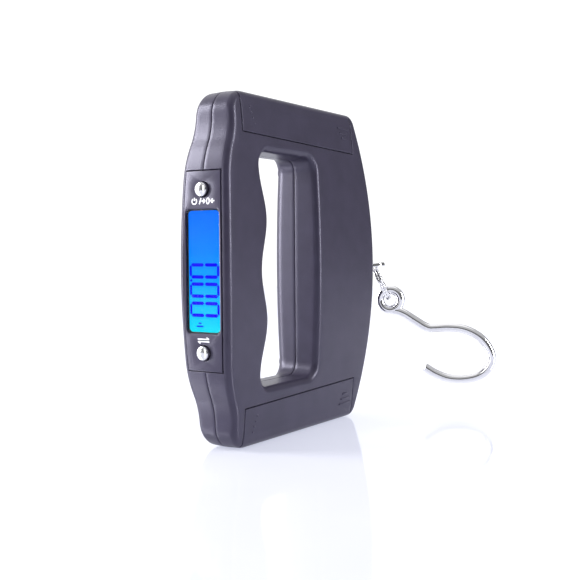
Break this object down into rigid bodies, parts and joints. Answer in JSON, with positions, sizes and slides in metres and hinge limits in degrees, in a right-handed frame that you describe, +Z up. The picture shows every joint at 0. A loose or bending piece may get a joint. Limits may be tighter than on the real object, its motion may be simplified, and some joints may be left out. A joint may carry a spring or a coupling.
{
  "type": "digital luggage scale",
  "caption": "Handheld digital luggage scale: a loop-shaped grip with a display in its side, a sliding battery door at each end, and a hook on a split ring and swivel eye.",
  "frame": {"origin": "On the flat lower end that the scale stands on, at the middle of the rear shell's share of it.", "axes": "+Z runs up the grip from the lower end to the upper one; -X is the hand side with the display; +X is the hook side; -Y is the front with the battery doors."},
  "size_m": [0.1483, 0.0555, 0.12],
  "materials": {
    "shell_plastic": "fine-grained satin dark grey, slightly violet",
    "panel_plastic": "smooth satin dark grey",
    "window_clear": "clear window with a dark printed border",
    "lcd_glass": "blue backlit segment display",
    "backlight_diffuser": "blue light guide",
    "button_chrome": "polished domed caps",
    "black_plastic": "moulded black nylon",
    "hook_chrome": "bright plated steel",
    "plain_steel": "zinc-plated steel",
    "cell_aluminium": "machined aluminium",
    "contact_brass": "nickel brass strip",
    "board_laminate": "green circuit board",
    "chip_epoxy": "black epoxy",
    "gauge_film": "amber polyimide film",
    "contact_rubber": "layered contact rubber",
    "battery_wrap": "plain dark cell wrap",
    "wire_insulation": "coloured wire insulation"
  },
  "bodies": {
    "handle": {"front_shell": "shell_plastic", "rear_shell": "shell_plastic", "display_panel": "panel_plastic", "lcd_window": "window_clear", "lcd_glass": "lcd_glass", "backlight": "backlight_diffuser", "hook_bush": "black_plastic", "tare_switch": "plain_steel", "unit_switch": "plain_steel", "filter_capacitor": "plain_steel", "spring_plate_upper": "plain_steel", "spring_plate_lower": "plain_steel", "battery_spring_upper": "plain_steel", "battery_spring_lower": "plain_steel", "eye_washer": "plain_steel", "cell_screw_1": "plain_steel", "cell_screw_2": "plain_steel", "shell_screw_1": "plain_steel", "shell_screw_2": "plain_steel", "shell_screw_3": "plain_steel", "shell_screw_4": "plain_steel", "shell_screw_5": "plain_steel", "shell_screw_6": "plain_steel", "load_cell": "cell_aluminium", "contact_plate_upper": "contact_brass", "contact_plate_lower": "contact_brass", "main_board": "board_laminate", "controller_chip": "chip_epoxy", "converter_chip": "chip_epoxy", "strain_gauge_inner": "gauge_film", "strain_gauge_outer": "gauge_film", "zebra_strip": "contact_rubber", "battery_upper": "battery_wrap", "battery_lower": "battery_wrap", "load_cell_cable": "wire_insulation", "battery_link_wire": "wire_insulation", "battery_lead_upper": "wire_insulation", "battery_lead_lower": "wire_insulation"},
    "tare_button_body": {"tare_button": "button_chrome", "tare_plunger": "black_plastic"},
    "unit_button_body": {"unit_button": "button_chrome", "unit_plunger": "black_plastic"},
    "upper_door": {"battery_door_upper": "shell_plastic"},
    "lower_door": {"battery_door_lower": "shell_plastic"},
    "swivel": {"swivel_eye": "hook_chrome", "eye_nut": "plain_steel"},
    "ring": {"split_ring": "hook_chrome"},
    "hook_body": {"hook": "hook_chrome"}
  },
  "joints": [
    {"name": "tare_press", "type": "slide", "parent": "handle", "child": "tare_button_body", "axis": [1, 0, 0], "range_m": [0, 0.0004], "stiffness_N_per_m": 900, "springref_m": -0.001},
    {"name": "unit_press", "type": "slide", "parent": "handle", "child": "unit_button_body", "axis": [1, 0, 0], "range_m": [0, 0.0004], "stiffness_N_per_m": 900, "springref_m": -0.001},
    {"name": "upper_door_slide", "type": "slide", "parent": "handle", "child": "upper_door", "axis": [0, 0, 1], "range_m": [0, 0.016]},
    {"name": "lower_door_slide", "type": "slide", "parent": "handle", "child": "lower_door", "axis": [0, 0, -1], "range_m": [0, 0.016]},
    {"name": "eye_swivel", "type": "hinge", "parent": "handle", "child": "swivel", "pos_m": [0.068, -0.0025, 0.0594], "axis": [1, 0, 0], "continuous": true},
    {"name": "ring_swing", "type": "hinge", "parent": "swivel", "child": "ring", "pos_m": [0.07156, -0.00089, 0.05913], "axis": [0.3981, -0.8075, 0.4352], "range_deg": [-5, 90]},
    {"name": "hook_swing", "type": "hinge", "parent": "ring", "child": "hook_body", "pos_m": [0.07537, -0.00636, 0.04549], "axis": [0.897, 0.4421, 0], "range_deg": [-110, 140]}
  ]
}
